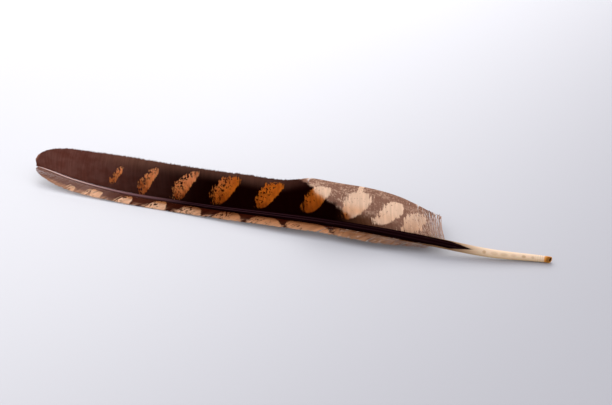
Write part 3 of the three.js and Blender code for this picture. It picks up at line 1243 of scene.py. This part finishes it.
class FEATHER_OT_narrow_web(bpy.types.Operator):
    """Lay the barbs of the narrow vane"""

    bl_idname = "feather.narrow_web"
    bl_label = "Narrow vane"

    def execute(self, context):
        sizes = context.scene.feather_sizes
        finish = narrow_web_finish(context.scene.feather_colours)
        piece = grow_barbs("narrow_web", NARROW_VANE, NARROW_SLITS, finish, {
            "Barbs": sizes.narrow_barbs, "Segments": 14, "Depth": sizes.barb_depth,
            "Tilt": sizes.barb_tilt, "Sweep at tip": 6 * MM, "Sweep at base": 11 * MM,
            "Bend": 0.3, "Fan": 8 * MM, "Tip start": 2.9 * MM, "Tip cut": 3.0 * MM,
            "Tip rounding": 0.8 * MM, "Tip length": 22.4 * MM, "Tip bluntness": 2.6,
            "Ragged ends": 0.05,
            "Loose from": 195 * MM, "Loose wave": 1.0 * MM, "Loose lift": 0.7 * MM, "Seed": 2,
        })
        hand_over(piece, "narrow_vane")
        return {"FINISHED"}


DOWN_ROWS = (  # where the first root is, in millimetres, and how ragged the ends are
    ("wide_down", WIDE_VANE, "wide_vane", 242, 0.45),
    ("narrow_down", NARROW_VANE, "narrow_vane", 200, 0.25),
)


class FEATHER_OT_down(bpy.types.Operator):
    """Add the loose downy barbs at the base of both vanes"""

    bl_idname = "feather.down"
    bl_label = "Loose barbs"

    def execute(self, context):
        sizes = context.scene.feather_sizes
        finish = down_finish()
        for seed, (name, vane, slot, first, ragged) in enumerate(DOWN_ROWS):
            piece = grow_barbs(name, vane, (), finish, {
                "Barbs": sizes.loose_barbs, "Segments": 20, "First root": first * MM,
                "Last root": 260 * MM, "Crowding": 1.0, "Cover": 0.32, "Depth": 0.08 * MM,
                "Tilt": 0.0, "Ragged ends": ragged, "Wave": 1.2 * MM, "Loose from": first * MM,
                "Loose wave": 3.0 * MM, "Loose lift": 1.6 * MM, "Seed": 11 + seed,
            })
            hand_over(piece)
        return {"FINISHED"}


FLOOR_HALF = 4.0
FLOOR_CORNERS = ((-1, -1), (1, -1), (1, 1), (-1, 1))
SKY_COLOUR = (0.94, 0.95, 1.0, 1.0)

# Each light's place, the point it faces and its size.
BACK_LIGHT = ((-0.50, 0.95, 0.80), (-0.05, 0.05, 0), (1.2, 0.8))
FRONT_LIGHT = ((-0.2, -1.2, 0.8), (0, 0, 0), (1.0, 0.7))

LOOK_AT = Vector((7.3, 20.9, 0)) * MM  # where the camera looks
FRAME_WIDTH = 36
SIGHT = 20  # how far the camera sees, in metres


class FEATHER_OT_stage(bpy.types.Operator):
    """Set the floor, the lights and the camera"""

    bl_idname = "feather.stage"
    bl_label = "Stage"

    def execute(self, context):
        scene = context.scene
        stage = scene.feather_stage
        corners = [(side * FLOOR_HALF, away * FLOOR_HALF, 0) for side, away in FLOOR_CORNERS]
        floor = new_piece("floor", corners, [(0, 1, 2, 3)])
        floor.data.materials.append(floor_finish())
        soft_light(scene, "back light", *BACK_LIGHT, stage.back_light)
        soft_light(scene, "front light", *FRONT_LIGHT, stage.front_light)
        world = bpy.data.worlds.new("even sky")
        world.use_nodes = True
        background = world.node_tree.nodes["Background"]
        background.inputs["Color"].default_value = SKY_COLOUR
        background.inputs["Strength"].default_value = stage.sky
        scene.world = world
        scene.view_settings.view_transform = "Standard"
        scene.camera = make_camera(scene, stage)
        return {"FINISHED"}


def make_camera(scene, stage):
    """The camera looks down at the feather from the side of its narrow vane."""
    round_x, round_y = math.sin(stage.azimuth), -math.cos(stage.azimuth)
    level = math.cos(stage.elevation)
    away = Vector((round_x * level, round_y * level, math.sin(stage.elevation)))
    camera = bpy.data.cameras.new("camera")
    camera.lens = stage.lens
    camera.sensor_width = FRAME_WIDTH
    camera.clip_end = SIGHT
    holder = bpy.data.objects.new("camera", camera)
    holder.location = LOOK_AT + away * stage.distance
    holder.rotation_euler = (-away).to_track_quat("-Z", "Y").to_euler()
    scene.collection.objects.link(holder)
    return holder


def soft_light(scene, name, place, aim, size, power):
    """A large rectangular light that faces a point."""
    light = bpy.data.lights.new(name, "AREA")
    light.shape = "RECTANGLE"
    light.size, light.size_y = size
    light.energy = power
    holder = bpy.data.objects.new(name, light)
    holder.location = place
    holder.rotation_euler = (Vector(aim) - Vector(place)).to_track_quat("-Z", "Y").to_euler()
    scene.collection.objects.link(holder)


class FEATHER_PT_panel(bpy.types.Panel):
    """Lists the feather's pieces and its sizes, colours and lights"""

    bl_label = "Turkey wing feather"
    bl_idname = "FEATHER_PT_panel"
    bl_space_type = "VIEW_3D"
    bl_region_type = "UI"
    bl_category = "Feather"

    def draw(self, context):
        layout = self.layout
        for operator in OPERATORS:
            layout.operator(operator.bl_idname)
        for name, kind in GROUPS.items():
            box = layout.box()
            for setting in kind.__annotations__:
                box.prop(getattr(context.scene, name), setting)


OPERATORS = (
    FEATHER_OT_shaft,
    FEATHER_OT_wide_web,
    FEATHER_OT_narrow_web,
    FEATHER_OT_down,
    FEATHER_OT_stage,
)
GROUPS = {
    "feather_sizes": FEATHER_PG_sizes,
    "feather_colours": FEATHER_PG_colours,
    "feather_stage": FEATHER_PG_stage,
}


def register():
    for group in GROUPS.values():
        bpy.utils.register_class(group)
    for name, group in GROUPS.items():
        setattr(bpy.types.Scene, name, PointerProperty(type=group))
    for operator in OPERATORS:
        bpy.utils.register_class(operator)
    bpy.utils.register_class(FEATHER_PT_panel)


def unregister():
    bpy.utils.unregister_class(FEATHER_PT_panel)
    for operator in reversed(OPERATORS):
        bpy.utils.unregister_class(operator)
    for name, group in GROUPS.items():
        delattr(bpy.types.Scene, name)
        bpy.utils.unregister_class(group)


def main():
    register()
    bpy.ops.feather.shaft()
    bpy.ops.feather.wide_web()
    bpy.ops.feather.narrow_web()
    bpy.ops.feather.down()
    bpy.ops.feather.stage()


if __name__ == "__main__":
    main()
